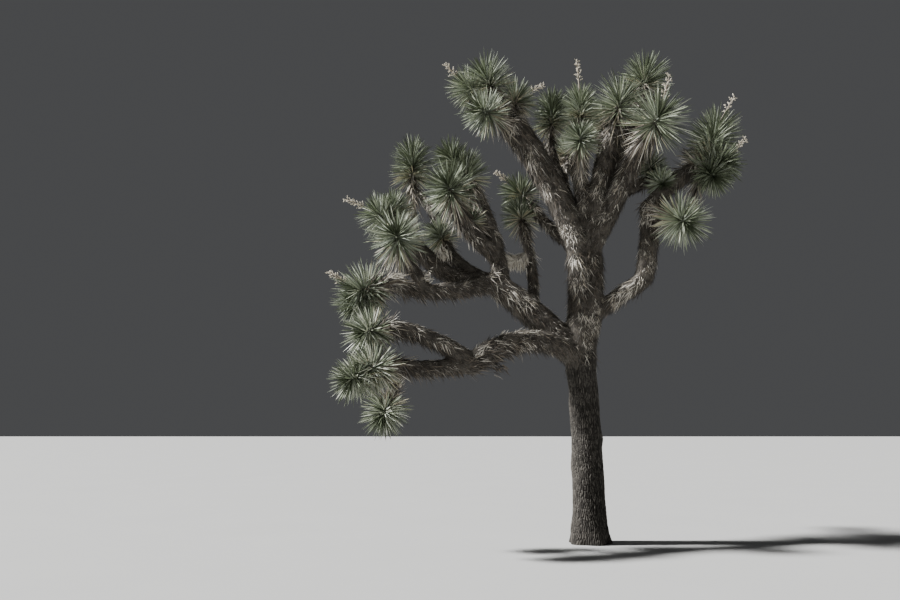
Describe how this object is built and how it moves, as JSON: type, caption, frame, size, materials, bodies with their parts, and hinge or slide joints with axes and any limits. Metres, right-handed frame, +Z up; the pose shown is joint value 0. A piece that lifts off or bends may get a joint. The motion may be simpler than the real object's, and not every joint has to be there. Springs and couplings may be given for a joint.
{
  "type": "joshua tree",
  "caption": "Mature joshua tree: a stout furrowed trunk forks into thatched boughs that end in round spiky heads of stiff leaves, with a low bough arching out to the left.",
  "frame": {"origin": "centre of the flat cut under the trunk, at ground level", "axes": "+Z up from the ground, +X to the right of the picture, +Y away from the camera"},
  "size_m": [4.6202, 2.8347, 5.7297],
  "materials": {
    "trunk_bark": "rough furrowed grey bark",
    "bough_bark": "rough bark under a shaggy thatch of dead leaves",
    "dead_wood": "bleached bare wood",
    "leaves": "waxy grey-green blades, straw-coloured where dead"
  },
  "bodies": {
    "root": {"trunk": "trunk_bark", "bough_left_great": "bough_bark", "bough_centre": "bough_bark", "bough_upper_left_foot": "bough_bark", "bough_upper_left": "bough_bark", "bough_right_low": "bough_bark", "bough_low_arch": "bough_bark", "bough_left_sagging": "bough_bark", "bough_left_front": "bough_bark", "bough_left_middle": "bough_bark", "bough_left_upright": "bough_bark", "bough_left_inner": "bough_bark", "bough_left_thin": "bough_bark", "bough_left_raised": "bough_bark", "dead_limb_curled": "dead_wood", "bough_gap_upright": "bough_bark", "bough_gap_slant": "bough_bark", "bough_centre_left": "bough_bark", "bough_centre_mid": "bough_bark", "bough_centre_right": "bough_bark", "bough_centre_back": "bough_bark", "bough_right_inner": "bough_bark", "bough_right_back": "bough_bark", "bough_right_upright": "bough_bark", "bough_right_outer": "bough_bark", "bough_low_upper": "bough_bark", "bough_low_middle": "bough_bark", "bough_low_hanging": "bough_bark", "bough_back_right": "bough_bark", "bough_back_middle": "bough_bark", "bough_back_left": "bough_bark", "leaves_far_left": "leaves", "leaves_left_front": "leaves", "leaves_left_outer": "leaves", "leaves_left_inner": "leaves", "leaves_left_tall": "leaves", "leaves_left_raised": "leaves", "leaves_left_upright": "leaves", "leaves_left_shaded": "leaves", "leaves_gap_upper": "leaves", "leaves_gap_lower": "leaves", "leaves_top_left_front": "leaves", "leaves_top_left": "leaves", "leaves_top_left_inner": "leaves", "leaves_centre_left": "leaves", "leaves_centre_top": "leaves", "leaves_centre_front": "leaves", "leaves_top_right_left": "leaves", "leaves_top_right": "leaves", "leaves_right_front": "leaves", "leaves_right_inner": "leaves", "leaves_right_outer": "leaves", "leaves_right_droop": "leaves", "leaves_right_low": "leaves", "leaves_low_upper": "leaves", "leaves_low_middle": "leaves", "leaves_low_hanging": "leaves", "leaves_back_right": "leaves", "leaves_back_middle": "leaves", "leaves_back_left": "leaves"}
  },
  "joints": []
}
